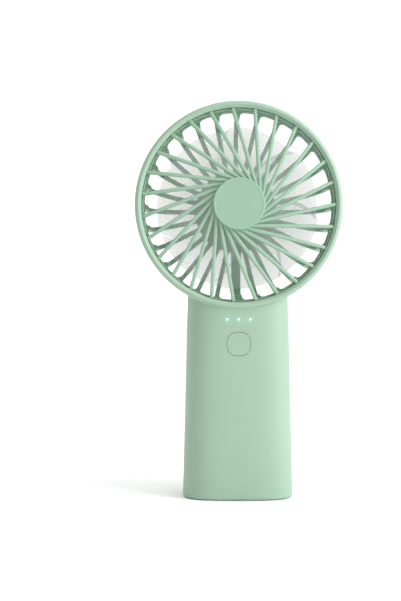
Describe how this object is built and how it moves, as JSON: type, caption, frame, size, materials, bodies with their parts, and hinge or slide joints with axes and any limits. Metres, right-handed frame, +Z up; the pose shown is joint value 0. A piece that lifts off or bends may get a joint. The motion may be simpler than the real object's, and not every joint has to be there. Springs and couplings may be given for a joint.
{
  "type": "handheld fan",
  "caption": "Handheld electric fan: caged round head with a lamp at its back, on a thick oval battery handle with a press button and a charging socket.",
  "frame": {"origin": "middle of the flat underside of the bottom cap, straight below the head's axis", "axes": "+Z up along the handle, -Y the way the air blows, +Y the way the lamp shines, +X to the right seen from the front"},
  "size_m": [0.106, 0.0558, 0.204],
  "materials": {
    "mint_plastic": "fine satin moulded plastic, mint green",
    "frosted_plastic": "frosted translucent white plastic",
    "lamp_lens": "opal white lamp lens, lit",
    "white_plastic": "smooth white moulding",
    "white_board": "white solder mask on an aluminium board",
    "green_board": "green solder mask",
    "led_chip": "yellow phosphor in a white chip body",
    "clear_guide": "clear polished plastic",
    "steel": "bright steel",
    "screw_steel": "nickel-plated screw",
    "core_steel": "laminated core steel",
    "ferrite": "bonded magnet, dark grey",
    "copper_wire": "enamelled copper wire",
    "black_plastic": "black moulded plastic",
    "cell_wrap": "blue shrink wrap on a steel can",
    "foam": "soft foam spacer",
    "lead_jacket": "red insulated lead"
  },
  "bodies": {
    "fan_body": {"front_shell": "mint_plastic", "rear_shell": "mint_plastic", "bottom_cap": "mint_plastic", "front_grille": "mint_plastic", "hub_cap": "mint_plastic", "rear_cage": "mint_plastic", "lamp_cup": "mint_plastic", "spine_cover": "mint_plastic", "lamp_lens": "lamp_lens", "lamp_reflector": "white_plastic", "lamp_board": "white_board", "front_bearing": "steel", "rear_bearing": "steel", "motor_base": "white_plastic", "motor_board": "green_board", "stator_core": "core_steel", "switch_body": "black_plastic", "main_board": "green_board", "charge_board": "green_board", "usb_shell": "steel", "usb_tongue": "black_plastic", "battery_cell_left": "cell_wrap", "battery_cell_right": "cell_wrap", "cell_link_top": "steel", "cell_link_bottom": "steel", "battery_tray": "white_plastic", "battery_foam": "foam", "head_leads": "lead_jacket", "battery_lead": "lead_jacket", "lamp_led_1": "led_chip", "lamp_led_2": "led_chip", "lamp_led_3": "led_chip", "lamp_led_4": "led_chip", "stator_coil_1": "copper_wire", "stator_coil_2": "copper_wire", "stator_coil_3": "copper_wire", "stator_coil_4": "copper_wire", "stator_coil_5": "copper_wire", "stator_coil_6": "copper_wire", "motor_screw_1": "screw_steel", "light_guide_1": "clear_guide", "indicator_led_1": "led_chip", "motor_screw_2": "screw_steel", "light_guide_2": "clear_guide", "indicator_led_2": "led_chip", "motor_screw_3": "screw_steel", "light_guide_3": "clear_guide", "indicator_led_3": "led_chip", "board_screw_1": "screw_steel", "board_screw_2": "screw_steel", "board_screw_3": "screw_steel", "board_screw_4": "screw_steel"},
    "rotor": {"impeller": "frosted_plastic", "rotor_can": "steel", "magnet_ring": "ferrite", "motor_shaft": "steel", "shaft_clip": "steel"},
    "button": {"power_button": "mint_plastic"},
    "plunger": {"switch_plunger": "white_plastic"}
  },
  "joints": [
    {"name": "impeller_spin", "type": "hinge", "parent": "fan_body", "child": "rotor", "pos_m": [0, 0, 0.151], "axis": [0, -1, 0], "continuous": true},
    {"name": "button_press", "type": "slide", "parent": "fan_body", "child": "button", "axis": [0, 1, 0], "range_m": [0, 0.0005], "stiffness_N_per_m": 1500},
    {"name": "plunger_press", "type": "slide", "parent": "fan_body", "child": "plunger", "axis": [0, 1, 0], "range_m": [0, 0.0005]}
  ],
  "couplings": [
    {"joint": "plunger_press", "follows": "button_press", "ratio": 1}
  ]
}
